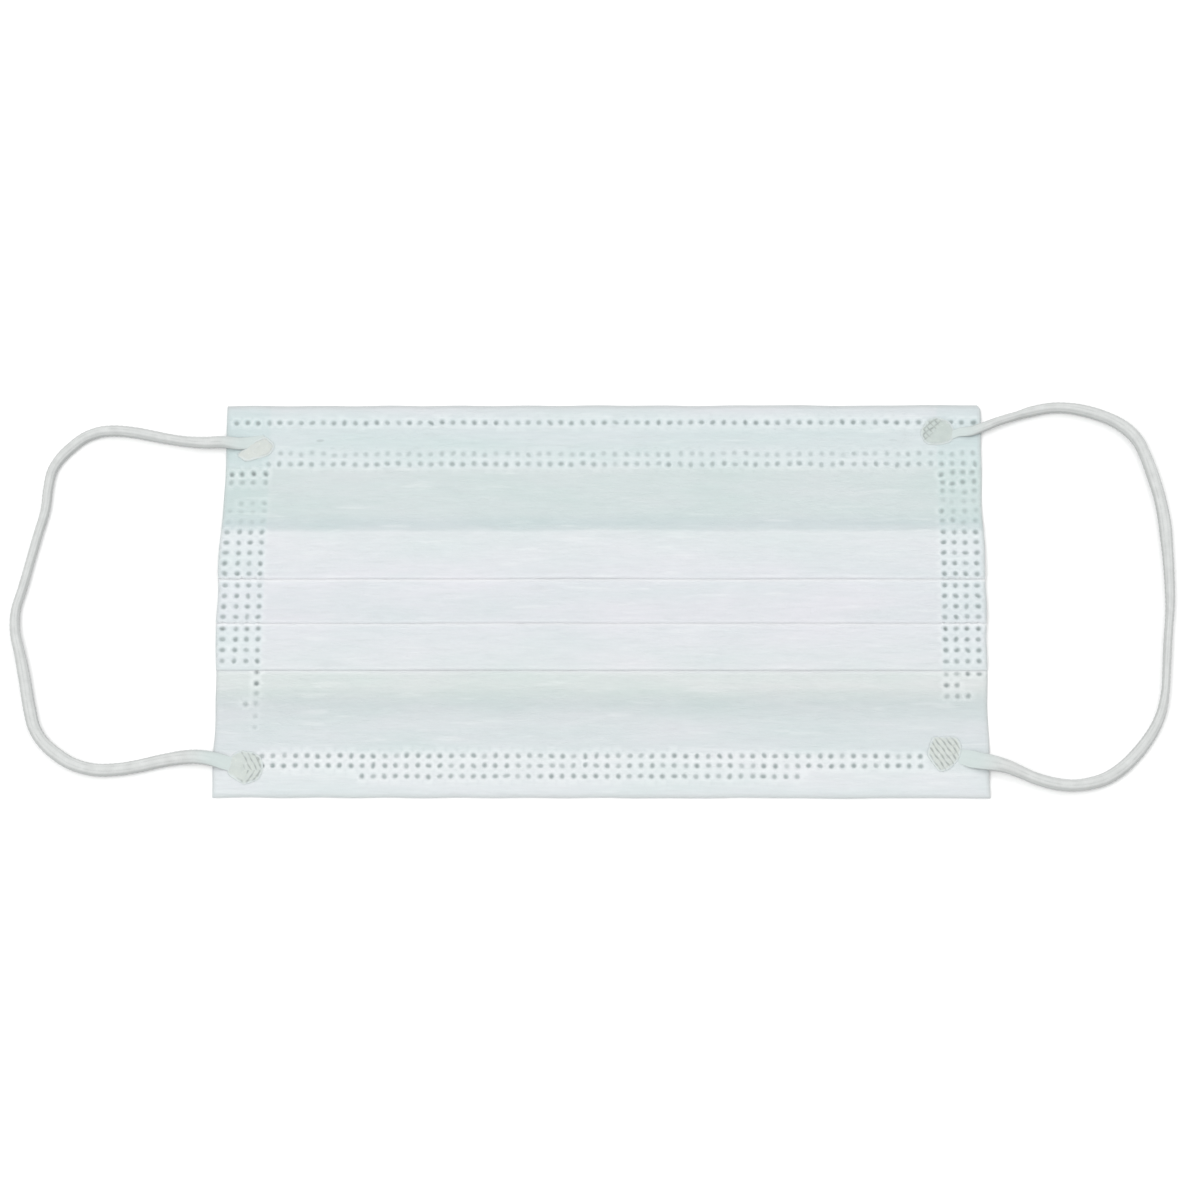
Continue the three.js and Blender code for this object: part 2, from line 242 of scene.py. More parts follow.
def make_camera():
    el, az, roll = (math.radians(a) for a in (CAMERA_ELEVATION, CAMERA_AZIMUTH, CAMERA_ROLL))
    back = Vector((math.sin(az) * math.cos(el), -math.cos(az) * math.cos(el), math.sin(el)))
    right = (-back).cross(Vector((0, 0, 1))).normalized()
    up = right.cross(-back)
    rolled = right * math.cos(roll) + up * math.sin(roll)
    upright = up * math.cos(roll) - right * math.sin(roll)
    data = bpy.data.cameras.new("camera")
    data.lens = CAMERA_LENS
    data.sensor_width = 36
    data.clip_start, data.clip_end = 0.05, 20
    camera = bpy.data.objects.new("camera", data)
    place = Matrix((rolled, upright, back)).transposed().to_4x4()
    place.translation = CAMERA_TARGET + back * CAMERA_DISTANCE
    camera.matrix_world = place
    bpy.context.scene.collection.objects.link(camera)
    bpy.context.scene.camera = camera


make_camera()

# ---- ear loops


def ear_loop(name, route, heights, ends, widths):
    """A knitted tube along the route. ends are two lists of rows: distance from that end, half
    width, half height and height above the floor of the pressed stretch. widths are rows of
    distance from the first end and half width, where the tube turns on itself."""
    first, last = heights
    z = first + [CORD_LIE] * (len(route) - len(first) - len(last)) + last
    line, along = even_steps(catmull_rom(np.column_stack([route, z]), 8), CORD_RING / MM)
    total = along[-1]
    radius = CORD_DIAMETER / 2 / MM
    wide = np.interp(along, *np.array(widths, float).T)
    high = np.minimum(radius, radius * (1.45 - 0.4 * wide / radius))
    for rows, distance in ((ends[0], along), (ends[1], total - along)):
        reach, *columns = np.array(rows, float).T
        inside = distance < reach[-1]
        near = distance[inside]
        wide[inside], high[inside], lie = (np.interp(near, reach, c) for c in columns)
        fade = smooth(reach[-1] * 0.6, reach[-1], near)
        line[inside, 2] = lie * (1 - fade) + line[inside, 2] * fade
    sway = ripples(sum(map(ord, name)), 5, (9, 31), (50, 60))(along, 0)
    wide *= 1 + 0.02 * sway
    for _ in range(12):
        line[1:-1, 2] = (line[:-2, 2] + 2 * line[1:-1, 2] + line[2:, 2]) / 4

    tangent = np.gradient(line, axis=0)
    tangent /= norm(tangent, axis=1)[:, None]
    across = np.cross(tangent, (0, 0, 1))
    across /= norm(across, axis=1)[:, None]
    upward = np.cross(across, tangent)
    angle = np.arange(CORD_SIDES) / CORD_SIDES * math.tau
    twist = along[:, None] / CORD_TWIST
    wale = CORD_WALES * (angle[None, :] + twist)
    rib = np.abs(np.cos(wale / 2))
    groove = RIB_RELIEF * (rib - 0.6)
    lean = 2.2 * np.abs(np.sin(wale / 2))
    stitch = STITCH_RELIEF * np.cos(math.tau * along[:, None] / STITCH_LENGTH + lean)
    relief = (groove + stitch * rib) * (high / radius).clip(0.25, 1)[:, None]
    points = (
        line[:, None, :]
        + across[:, None, :] * ((wide[:, None] + relief) * np.cos(angle))[:, :, None]
        + upward[:, None, :] * ((high[:, None] + relief) * np.sin(angle))[:, :, None]
    )
    index = np.arange(len(line) * CORD_SIDES).reshape(-1, CORD_SIDES)
    turned = np.roll(index, -1, axis=1)
    faces = np.stack([index[:-1], index[1:], turned[1:], turned[:-1]], -1).reshape(-1, 4).tolist()
    faces += [index[0].tolist(), index[-1][::-1].tolist()]
    u = np.broadcast_to(along[:, None], index.shape).ravel()
    v = ((angle[None, :] + twist) / (math.tau)).ravel()
    uvs = []
    for face in faces:
        top = max(v[i] for i in face)
        uvs += [(u[i], v[i] + (top - v[i] > 0.5)) for i in face]
    from_end = np.minimum(along, total - along)[:, None]
    melt = np.broadcast_to(1 - smooth(*MELT_FADE, from_end), index.shape).ravel()
    piece = mesh_object(name + "_knit", points.reshape(-1, 3) * MM, faces, {"melt": melt}, uvs)
    path = line * MM
    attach(piece, "root")
    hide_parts(name)
    round(float(run(path)[-1]), 3)
    return piece


# Upper end, lower end: distance from it, half width, half height, height above the floor.
LEFT_ENDS = (
    [(0, 0.7, 0.06, 0.84), (2.8, 1.1, 0.10, 0.92), (5.0, 1.5, 0.30, 1.14), (7.5, 1.5, 0.75, 1.62),
     (11, 1.4, 1.2, 2.05), (18, 1.22, 1.25, 1.6)],
    [(0, 1.2, 0.06, 0.84), (1.6, 1.7, 0.10, 0.92), (3.4, 1.8, 0.36, 1.24), (6.5, 1.65, 0.9, 1.85),
     (10, 1.55, 1.2, 2.1), (15, 1.52, 1.25, 1.6)],
)
RIGHT_ENDS = (
    [(0, 0.5, 0.06, 0.84), (2.6, 0.9, 0.10, 0.92), (5.5, 1.15, 0.30, 1.20), (9, 1.08, 0.8, 1.80),
     (13, 1.0, 1.1, 2.0), (18, 0.95, 1.2, 1.5)],
    [(0, 1.3, 0.06, 0.80), (2.4, 1.8, 0.08, 0.84), (4.4, 2.1, 0.24, 1.14), (8.5, 1.85, 0.8, 1.80),
     (12, 1.55, 1.2, 2.1), (17, 1.35, 1.3, 1.6)],
)
# Distance from the upper end, and half width.
LEFT_WIDTHS = [
    (0, 1.2), (30, 1.22), (48, 1.2), (58, 1.06), (80, 1.0), (90, 1.08), (97, 1.22), (110, 1.38),
    (140, 1.42), (152, 1.45), (162, 1.55), (170, 1.6),
]
RIGHT_WIDTHS = [
    (0, 1.0), (19, 0.92), (22, 1.12), (32, 1.25), (45, 1.42), (72, 1.38), (84, 1.12), (95, 0.95),
    (112, 0.92), (121, 1.22), (132, 1.40), (155, 1.34), (175, 1.3),
]

loop_left = ear_loop("ear_loop_left", LEFT_ROUTE, LEFT_HEIGHTS, LEFT_ENDS, LEFT_WIDTHS)
loop_right = ear_loop("ear_loop_right", RIGHT_ROUTE, RIGHT_HEIGHTS, RIGHT_ENDS, RIGHT_WIDTHS)

# ---- the pleated panel


def half_turn(y, z, side, climb, radius):
    """A fold in (y, z): side is +1 where it points to +Y, climb +1 where it leads upwards."""
    angle = (np.arange(FOLD_STEPS + 1) / FOLD_STEPS - 0.5) * math.pi
    return np.stack([y + side * radius * np.cos(angle), z + climb * radius * np.sin(angle)], 1)


def section_rows(loose):
    """The sheet's middle line from the free edge of the top hem to that of the bottom hem, as
    stretches: (is a fold, its points)."""
    column = 1 if loose else 2
    hem = PRESSED_LAYER / 2
    radius = (LOOSE_LAYER if loose else PRESSED_LAYER) / 2
    edge = HALF_HEIGHT - hem - WALL / 2
    stretches = [(False, [(TOP_HEM_EDGE, GROUND)])]
    stretches.append((True, half_turn(edge + TOP_ALLOWANCE, GROUND + hem, 1, 1, hem)))
    for (front, back, loose_rise, fused_rise), panel in zip(PLEATS, PANELS):
        top = loose_rise if loose else fused_rise
        reach = radius + WALL / 2
        stretches.append((False, [(row[0], row[column]) for row in panel]))
        stretches.append((True, half_turn(front + reach, top - radius, -1, -1, radius)))
        stretches.append((True, half_turn(back - reach, GROUND + radius, 1, -1, radius)))
    stretches.append((False, [(row[0], row[column]) for row in CHIN_PANEL]))
    stretches.append((True, half_turn(-edge, GROUND + hem, -1, -1, hem)))
    stretches.append((False, [(BOTTOM_HEM_EDGE, GROUND)]))
    return stretches


def section_lines():
    """The loose and the fused middle line, point by point alike, and the distance along the
    loose one."""
    lines, flags, counts = [], [], None
    for loose in (True, False):
        raw, fixed = [], []
        for is_fold, points in section_rows(loose):
            raw += [tuple(p) for p in points]
            fixed += [is_fold] * len(points)
        raw = np.array(raw)
        if counts is None:
            gaps = norm(np.diff(raw, axis=0), axis=1)
            counts = np.maximum(1, np.round(gaps / LINE_STEP).astype(int))
            counts[np.array(fixed[:-1]) & np.array(fixed[1:]) & (gaps < 3)] = 1
        dense, keep = [raw[0]], [True]
        for i, count in enumerate(counts):
            for j in range(1, count + 1):
                dense.append(raw[i] + (raw[i + 1] - raw[i]) * j / count)
                keep.append(bool(j == count and fixed[i + 1]))
        dense, keep = np.array(dense), np.array(keep)
        keep[[0, -1]] = True
        for _ in range(14):
            mean = (dense[:-2] + 2 * dense[1:-1] + dense[2:]) / 4
            dense[1:-1] = np.where(keep[1:-1, None], dense[1:-1], mean)
        lines.append(dense)
        flags = keep  # alike in both lines
    return lines[0], lines[1], run(lines[0]), flags


LOOSE_LINE, FUSED_LINE, ALONG, IN_FOLD = section_lines()
SHEET_LENGTH = ALONG[-1]
TOP_RISE = PLEATS[0][2]

# The cloth's small waves.
layer_ripple = ripples(11, 26, (18, 60), (4, 14))
stack_ripple = ripples(23, 9, (35, 110), (30, 90))
edge_ripple = ripples(31, 7, (14, 50), (40, 60))
LAYER_WAVE, STACK_WAVE = 0.045, 0.14
SIDE_WAVE, END_WAVE = 0.10, 0.07
HEM_SHARE = 0.4  # of LAYER_WAVE in the hems
PAD_PRESS = (4.2, 7.0)  # distance from a pad's middle where its pressing starts and stops fading
WIRE_HUMP = (1.3, 2.7)  # the same for the wire's relief, from its middle line
WIRE_TIP, TIP_WIDTH = 0.10, 1.3  # the extra relief over its ends
SIDE_BULGE = (0.5, 0.15)  # how far the left and the right side curve outwards
CORNER_RADIUS = 1.6  # of the upper right corner


def pad_press(x, y):
    """1 where a weld pad presses the layers together, fading to 0 beside it."""
    weight = np.zeros(np.broadcast(x, y).shape)
    for (px, py), _ in PADS.values():
        weight = np.maximum(weight, 1 - smooth(*PAD_PRESS, np.hypot(x - px, y - py)))
    return weight


def sheet_middle(x, s):
    """Points (x, y, z) on the middle of the sheet, and its normals out of the outer face."""
    x, s = np.asarray(x, float), np.asarray(s, float)
    at = np.interp(s, ALONG, np.arange(len(ALONG)))

    def on(line):
        index = np.arange(len(line))
        ahead = points_at(np.minimum(at + 0.5, index[-1]), index, line)
        ahead -= points_at(np.maximum(at - 0.5, 0), index, line)
        return points_at(at, index, line), ahead / norm(ahead, axis=-1, keepdims=True)

    loose, loose_ahead = on(LOOSE_LINE)
    fused, fused_ahead = on(FUSED_LINE)
    weight = smooth(STRIP_START - RAMP, STRIP_START, np.abs(x))
    weight = np.maximum(weight, pad_press(x, loose[:, 0]))[:, None]
    free = 1 - weight[:, 0]
    place = loose * (1 - weight) + fused * weight
    ahead = loose_ahead * (1 - weight) + fused_ahead * weight
    ahead /= norm(ahead, axis=-1, keepdims=True)

    y, z = place[:, 0].copy(), place[:, 1].copy()
    height = (loose[:, 1] - GROUND).clip(0)
    crown = 1 - np.clip(np.abs(x) / STRIP_START, 0, 1) ** 2
    z += free * height / (TOP_RISE - GROUND) * (CROWN * crown + STACK_WAVE * stack_ripple(x, y))
    in_hem = (s < HEM_SPANS[0]) | (s > SHEET_LENGTH - HEM_SPANS[1])
    calm = np.where(in_hem, HEM_SHARE, 1.0) * smooth(-0.3, 0.5, height)
    z = np.maximum(z + free * calm * LAYER_WAVE * layer_ripple(x, y), GROUND)
    over_wire = (ahead[:, 0] < 0) & (y > 30)
    ends = smooth(WIRE_LEFT - 2.2, WIRE_LEFT, x) * (1 - smooth(WIRE_RIGHT, WIRE_RIGHT + 2.2, x))
    hump = 1 - smooth(*WIRE_HUMP, np.abs(y - WIRE_Y))
    z += np.where(over_wire, WIRE_LIFT * hump * ends, 0)
    tip = bell(x, WIRE_LEFT, TIP_WIDTH) + bell(x, WIRE_RIGHT, TIP_WIDTH)
    z += np.where(over_wire, WIRE_TIP * hump * tip, 0)

    side = np.sign(x)
    near_side = smooth(HALF_WIDTH - 3.6, HALF_WIDTH, np.abs(x))
    bulge = np.where(side < 0, *SIDE_BULGE) * smooth(22, 12, y) * smooth(-22, -12, y)
    corner = (CORNER_RADIUS - (HALF_HEIGHT + TOP_ALLOWANCE - y)).clip(0, CORNER_RADIUS)
    rounded = np.where(side > 0, CORNER_RADIUS - np.sqrt(CORNER_RADIUS**2 - corner**2), 0)
    wave = SIDE_WAVE * edge_ripple(y, 7 * side)
    out_x = x + side * near_side * (bulge - rounded + wave)
    near_end = smooth(HALF_HEIGHT - 5, HALF_HEIGHT, np.abs(y))
    y = y + near_end * END_WAVE * (edge_ripple(x, np.sign(y) * 9) - 1.2) * np.sign(y)
    middle = np.stack([out_x, y, z], -1)
    normal = np.stack([np.zeros(len(x)), ahead[:, 1], -ahead[:, 0]], -1)
    return middle, normal


def layer_at(y, fused, top):
    """Distance along the sheet of the uppermost or the lowest layer at y."""
    line = FUSED_LINE if fused else LOOSE_LINE
    layers = []
    for a, b, start, end in zip(line, line[1:], ALONG, ALONG[1:]):
        if min(a[0], b[0]) <= y <= max(a[0], b[0]) and a[0] != b[0]:
            t = (y - a[0]) / (b[0] - a[0])
            layers.append((a[1] + t * (b[1] - a[1]), start + t * (end - start)))
    return (max if top else min)(layers, key=lambda layer: layer[0])[1]


# ---- weld dots

PITCH = 2.53
BLOCK_PITCH = 2.61
BLOCK_TOP, BLOCK_ROWS = 16.1, 13
LEFT_STEP, RIGHT_STEP = 2.58, 2.47  # between the side blocks' columns
RIGHT_COLUMNS = (78.3, 85.7)  # the first and the last
# The rows along the hems: y, first x, last x, strength, unevenness.
HEM_ROWS = [
    (43.45, -85.2, 85.8, 1.0, 0.10),
    (35.6, -77.5, 85.8, 0.50, 0.22),
    (33.15, -77.5, 85.8, 0.75, 0.16),
    (-37.7, -76.5, 72.1, 1.0, 0.10),
    (-40.0, -76.5, 72.1, 0.95, 0.10),
    (-42.5, -53.8, 44.2, 0.9, 0.10),
]
# What is left of the side blocks above and below their full rows.
LOWER_LEFT = [  # x, y, strength of single dots
    (-78.4, -17.5, 1.1), (-78.4, -20.3, 1.2), (-78.4, -22.7, 0.6), (-78.4, -25.1, 0.45),
    (-78.4, -28.2, 0.35), (-78.4, -30.8, 0.3), (-80.7, -25.2, 0.7),
]
LOWER_RIGHT = [(-17.9, 4, 0.85), (-20.7, 2, 0.9), (-23.3, 3, 0.8)]  # y, dots, strength
# y and strength of the upper rows.
UPPER_LEFT = [(30.8, 0.9), (28.7, 0.6), (21.5, 0.25), (18.7, 0.3)]
UPPER_RIGHT = [(31.0, 0.75), (28.8, 0.75), (26.6, 0.5), (24.0, 0.3), (21.5, 0.55), (18.8, 0.5)]


def weld_dots():
    """(x, y, strength) of each dot, as rows and columns."""
    random = np.random.default_rng(5)
    dots = []

    def row(y, start, end, strength, shake, step=PITCH):
        count = int(round((end - start) / step))
        for i in range(count + 1):
            x = start + (end - start) * i / count
            dots.append((
                x + random.normal(0, shake * 0.6), y + random.normal(0, shake * 0.6),
                float(np.clip(strength * random.normal(1, 0.16), 0.12, 1.15)),
            ))

    for values in HEM_ROWS:
        row(*values)
    for y in BLOCK_TOP - BLOCK_PITCH * np.arange(BLOCK_ROWS):
        row(y, -86.15, -78.4, 1.0, 0.07, LEFT_STEP)
        row(y, *RIGHT_COLUMNS, 1.05, 0.07, RIGHT_STEP)
    dots += LOWER_LEFT
    first = RIGHT_COLUMNS[0]
    for y, count, strength in LOWER_RIGHT:
        row(y, first, first + RIGHT_STEP * (count - 1), strength, 0.12, RIGHT_STEP)
    for y, strength in UPPER_LEFT:
        row(y, -86.0, -78.2, strength, 0.15, LEFT_STEP)
    row(23.7, -83.5, -78.3, 0.35, 0.15, LEFT_STEP)
    for y, strength in UPPER_RIGHT:
        row(y, *RIGHT_COLUMNS, strength, 0.3, RIGHT_STEP)

    def under_pad(x, y):
        return any(math.hypot(x - px, y - py) < 3.9 for (px, py), _ in PADS.values())

    return [d for d in dots if not under_pad(d[0], d[1]) and abs(d[0]) < HALF_WIDTH - 0.9]


DOT_DEPTH, DOT_LIP, DOT_REACH = 0.20, 0.08, 1.7
# Rings of mesh points round a dot: radius and count, on the outer face and on hidden layers.
DOT_RINGS_FINE = [(0.28, 6), (0.50, 10), (0.72, 12), (0.94, 12), (1.17, 12)]
DOT_RINGS_PLAIN = [(0.40, 6), (0.75, 8)]


def dot_relief(distance):
    """Height of a full-strength dot at that distance from its middle."""
    cup = -DOT_DEPTH * (1 - smooth(0.20, 0.78, distance))
    return cup + DOT_LIP * bell(distance, 1.06, 0.22)


def dot_melt_and_highlight(distance, rim_distance):
    """1 in a dot's melted middle, below 0 on its rim, where a highlight is painted."""
    return (1 - smooth(0.22, 0.84, distance)) - 0.60 * bell(rim_distance, 1.12, 0.20)


def sheet_side(columns, rows, boundary, dots):
    """Points of one side of the sheet in (x, s), and its triangles. dots are rows of
    (x, s, strength, ring table)."""
    grid = np.stack(np.meshgrid(columns, rows, indexing="ij"), -1).reshape(-1, 2)
    keep = np.ones(len(grid), bool)
    rings = []
    for x, s, _, table in dots:
        reach = table[-1][0] + 0.25
        near = (np.abs(grid[:, 0] - x) < reach) & (np.abs(grid[:, 1] - s) < reach)
        keep[near] &= np.hypot(grid[near, 0] - x, grid[near, 1] - s) > reach
        rings.append((x, s))
        for i, (radius, count) in enumerate(table):
            angle = (np.arange(count) + 0.5 * (i % 2)) * math.tau / count
            rings += list(zip(x + radius * np.cos(angle), s + radius * np.sin(angle)))
    rings = np.array(rings).reshape(-1, 2)
    inside = (np.abs(rings[:, 0]) < HALF_WIDTH - 0.12) & (rings[:, 1] > 0.1)
    inside &= rings[:, 1] < SHEET_LENGTH - 0.1
    points = np.vstack([boundary, grid[keep], rings[inside]])
    out, faces = triangles(points, 1e-5)
    if len(out) != len(points):
        raise ValueError("two points of the sheet coincide")
    return out, faces


def boundary_loop(columns, rows):
    """The sheet's edge in (x, s), once round."""
    left, right = columns[0], columns[-1]
    loop = [(x, rows[0]) for x in columns]
    loop += [(right, s) for s in rows[1:]]
    loop += [(x, rows[-1]) for x in columns[-2::-1]]
    loop += [(left, s) for s in rows[-2:0:-1]]
    return np.array(loop)


def spread(stops):
    """Values through stops of (value, step up to the next stop)."""
    values = []
    for (a, step), (b, _) in zip(stops, stops[1:]):
        count = max(1, int(round((b - a) / step)))
        values += list(a + (b - a) * np.arange(count) / count)
    return np.array(values + [stops[-1][0]])


def edge_shade_weight(points):
    """Where shade is painted along the panel's outline: 1 on it, fading inside it."""
    x, s = points.T
    weight = bell(np.abs(x), HALF_WIDTH, 0.5) * np.where(x < 0, 0.6, 0.9)
    for find, share, width in ((np.argmax, 1, 0.75), (np.argmin, 0.7, 0.6)):
        fold = ALONG[find(LOOSE_LINE[:, 0])]
        weight = np.maximum(weight, share * bell(s, fold, width))
    return weight


def fold_light(s):
    """How much paler each front fold and the cloth just under it are, where thin cloth lets light
    through."""
    light = np.zeros(len(s))
    y = np.interp(s, ALONG, LOOSE_LINE[:, 0])
    for (front, back, *_), share in zip(PLEATS, (1.0, 1.0, 0.7)):
        tip, turn = (
            ALONG[np.argmin(np.abs(LOOSE_LINE[:, 0] - edge) + np.where(IN_FOLD, 0, 9))]
            for edge in (front + WALL / 2, back - WALL / 2)
        )
        past = s - tip - 0.42
        light = np.maximum(light, share * bell(past, 0, np.where(past < 0, 0.42, 0.9)))
        under = 0.58 * np.exp(-(front - 0.22 - y).clip(0) / 0.26) * (y < front + 1.5)
        light = np.maximum(light, np.where(s > turn, share * under, 0))
    return light


# The panel's columns from mid width outwards: x, and the step up to the next stop.
COLUMN_STOPS = [(0, 2.5), (60, 2.5), (72.5, 0.9), (78, 1.3), (86.5, 0.5), (HALF_WIDTH, 1)]
# The steps between its rows: in a fold, near one, and elsewhere.
FOLD_STEP, NEAR_STEP, ROW_STEP = 0.14, 0.3, 0.6


def panel_rows():
    rows = [0.0]
    near_fold = fold_light(ALONG) > 0.04
    for s, folded, near in zip(ALONG[1:], IN_FOLD[1:], near_fold[1:]):
        step = FOLD_STEP if folded else NEAR_STEP if near else ROW_STEP
        if s - rows[-1] >= step or s == ALONG[-1]:
            rows.append(s)
    if rows[-1] - rows[-2] < NEAR_STEP:
        rows.pop(-2)
    return np.array(rows)


def make_panel():
    fine, plain, inner_dots = [], [], []
    for x, y, strength in weld_dots():
        fused = abs(x) > STRIP_START - 2
        fine.append((x, layer_at(y, fused, True), strength, DOT_RINGS_FINE))
        in_hem = y > TOP_HEM_EDGE or y < BOTTOM_HEM_EDGE
        low = layer_at(y, fused, False)
        (plain if in_hem else inner_dots).append((x, low, strength, DOT_RINGS_PLAIN))
    plain = [d for d in plain if 0.9 < d[1] < SHEET_LENGTH - 0.9]

    right = spread(COLUMN_STOPS)
    columns = np.concatenate([-right[:0:-1], right])
    rows = panel_rows()
    boundary = boundary_loop(columns, rows)
    inner_columns = columns[1:-1:2]
    outer_points, outer_faces = sheet_side(columns[1:-1], rows[1:-1], boundary, fine + plain)
    inner_points, inner_faces = sheet_side(inner_columns, rows[1:-1], boundary, inner_dots)

    def placed(points, sign, dots_here):
        middle, normal = sheet_middle(points[:, 0], points[:, 1])
        relief, shade = np.zeros(len(points)), np.zeros(len(points))
        order = np.argsort(points[:, 1])
        sorted_s = points[order, 1]
        random = np.random.default_rng(17)
        for x, s, strength, _ in dots_here:
            lo, hi = np.searchsorted(sorted_s, (s - DOT_REACH, s + DOT_REACH))
            some = order[lo:hi]
            dx, ds = points[some, 0] - x, points[some, 1] - s
            close = np.hypot(dx, ds) < DOT_REACH
            some, dx, ds = some[close], dx[close], ds[close]
            turn, slim = random.uniform(0, math.pi), random.normal(0, 0.10)
            long = dx * math.cos(turn) + ds * math.sin(turn)
            cross = ds * math.cos(turn) - dx * math.sin(turn)
            distance = np.hypot(long * (1 + slim), cross * (1 - slim))
            # The painted highlight on the rim sits a little off the dot's middle.
            side_x, side_s = random.normal(0, 0.10, 2)
            rim_distance = np.hypot(dx - side_x, ds - side_s)
            relief[some] += strength * dot_relief(distance)
            shade[some] += strength * dot_melt_and_highlight(distance, rim_distance)
        return middle + sign * normal * (WALL / 2 + relief)[:, None], shade

    outer, outer_shade = placed(outer_points, 1, fine + plain)
    inner, inner_shade = placed(inner_points, -1, inner_dots)
    count = len(outer)
    faces = [tuple(f) for f in outer_faces] + [tuple(f[::-1] + count) for f in inner_faces]
    rim = len(boundary)  # both sides start with the same edge points
    turn = [(i, (i + 1) % rim) for i in range(rim)]
    walls = [(j, j + count, i + count, i) for i, j in turn]
    points = np.vstack([outer, inner]) * MM
    is_outer = np.concatenate([np.ones(count), np.zeros(len(inner))])
    shade = np.concatenate([outer_shade, inner_shade])
    sheet_xs = np.vstack([outer_points, inner_points])
    # weld holds the dots' melted middles and, below 0, the painted highlight on their rims.
    piece = mesh_object(
        "mask_panel", points, faces + walls,
        # edge is where shade is painted along the outline.
        {"outer_face": is_outer, "weld": shade, "edge": edge_shade_weight(sheet_xs),
         "fold_light": fold_light(sheet_xs[:, 1])},
    )
    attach(piece, "root")
    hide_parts("pleated_panel")
    return piece


panel = make_panel()

# ---- nose wire


WIRE_RINGS, WIRE_SIDES = 90, 20
WIRE_HALF_WIDTH, WIRE_HALF_HEIGHT = 1.5, 0.16


def make_wire():
    """A flat strip with rounded sides and two stiffening cores, inside the top hem."""
    middle_z = WALL + 0.03 + WIRE_HALF_HEIGHT
    angle = np.arange(WIRE_SIDES) / WIRE_SIDES * math.tau
    cos, sin = np.cos(angle), np.sin(angle)
    across = np.sign(cos) * np.abs(cos) ** 0.5 * WIRE_HALF_WIDTH
    core = 1 + 0.25 * bell(np.abs(across), 0.8, 0.3)
    up = np.sign(sin) * np.abs(sin) ** 0.7 * WIRE_HALF_HEIGHT * core / 1.25
    share = np.abs(np.linspace(-1, 1, WIRE_RINGS))
    taper = np.sqrt(np.clip(1 - ((share - 0.985) / 0.015).clip(0) ** 2, 0.1, 1))
    points = []
    for x, t in zip(np.linspace(WIRE_LEFT, WIRE_RIGHT, WIRE_RINGS), taper):
        points += [(x, WIRE_Y + a * t, middle_z + u) for a, u in zip(across, up)]
    index = np.arange(WIRE_RINGS * WIRE_SIDES).reshape(-1, WIRE_SIDES)
    turned = np.roll(index, -1, axis=1)
    faces = np.stack([index[:-1], turned[:-1], turned[1:], index[1:]], -1).reshape(-1, 4).tolist()
    faces += [index[0][::-1].tolist(), index[-1].tolist()]
    piece = mesh_object("nose_wire_strip", np.array(points) * MM, faces)
    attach(piece, "root")
    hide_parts("nose_wire")
    return piece


wire = make_wire()

# ---- weld pads


def rounded_outline(corners, radius, step):
    """A closed line round the corners, with rounded turns and points about one step apart."""
    points = np.array(corners, float)
    out = []
    for i in range(len(points)):
        before, here, after = points[i - 1], points[i], points[(i + 1) % len(points)]
        into, onward = before - here, after - here
        cut = min(radius, norm(into) * 0.42, norm(onward) * 0.42)
        start = here + into / norm(into) * cut
        end = here + onward / norm(onward) * cut
        for t in np.linspace(0, 1, 5):
            out.append((1 - t) ** 2 * start + 2 * t * (1 - t) * here + t * t * end)
    out = np.array(out)
    ring = np.vstack([out, out[:1]])
    along = run(ring)
    at = np.linspace(0, along[-1], int(along[-1] / step) + 1)[:-1]
    return points_at(at, along, ring)


def inside_depth(points, outline):
    """Distance of each point from the outline, above 0 inside it."""
    ends = np.roll(outline, -1, axis=0)
    depth = np.full(len(points), 1e9)
    crossings = np.zeros(len(points), int)
    for a, b in zip(outline, ends):
        ab = b - a
        t = np.clip(((points - a) @ ab) / (ab @ ab), 0, 1)
        depth = np.minimum(depth, np.hypot(*(points - a - t[:, None] * ab).T))
        hit = (a[1] > points[:, 1]) != (b[1] > points[:, 1])
        with np.errstate(divide="ignore", invalid="ignore"):
            cross_x = a[0] + (points[:, 1] - a[1]) / (b[1] - a[1]) * ab[0]
        crossings += hit & (points[:, 0] < cross_x)
    return np.where(crossings % 2 == 1, depth, -depth)


def ribs(x, y, degrees, period):
    """Parallel ridges that run in that direction, from 0 to 1."""
    a = math.radians(degrees)
    across = -x * math.sin(a) + y * math.cos(a)
    return 0.5 + 0.5 * np.cos(math.tau * across / period)


def cuts(x, y, degrees, period, width=0.17):
    """Narrow grooves that run in that direction, from 0 to 1, slightly uneven."""
    a = math.radians(degrees)
    across = -x * math.sin(a) + y * math.cos(a)
    along = x * math.cos(a) + y * math.sin(a)
    across = across + 0.07 * np.sin(1.9 * along + 2.0 * np.round(across / period))
    number = np.round(across / period)
    depth = 0.75 + 0.25 * np.sin(3.1 * along + 4.0 * number)
    return depth * bell(across - period * number, 0, width)


def top_left_knurl(x, y, depth):
    facet = 0.07 * ribs(x, y, 28, 5.2) + 0.05 * np.abs(x * 0.47 - y * 0.88)
    crease = bell(depth, 0.42, 0.20) * smooth(-1.8, 0.2, x + 0.5 * y)
    print_left = cuts(x, y, 62, 2.2, 0.22) * smooth(-1.2, 0.2, x) * (1 - smooth(1.5, 3.0, depth))
    return facet - 0.24 * crease - 0.09 * print_left


def bottom_left_knurl(x, y, depth):
    share = smooth(-0.8, 0.6, x + 0.3 * y)
    chevron = np.where(y > -0.6, cuts(x, y, 118, 1.15), cuts(x, y, 62, 1.15))
    near_rim = bell(depth, 0.5, 0.32)
    rim = cuts(x, y, 80, 1.35, 0.3) * near_rim + cuts(x, y, -10, 1.35, 0.3) * near_rim
    rim = rim.clip(0, 1) * smooth(-1.5, 0.5, x - 0.4 * y)
    left = bell(depth, 0.3, 0.25) * (1 - share)
    return -0.24 * share * chevron - 0.22 * rim - 0.05 * left


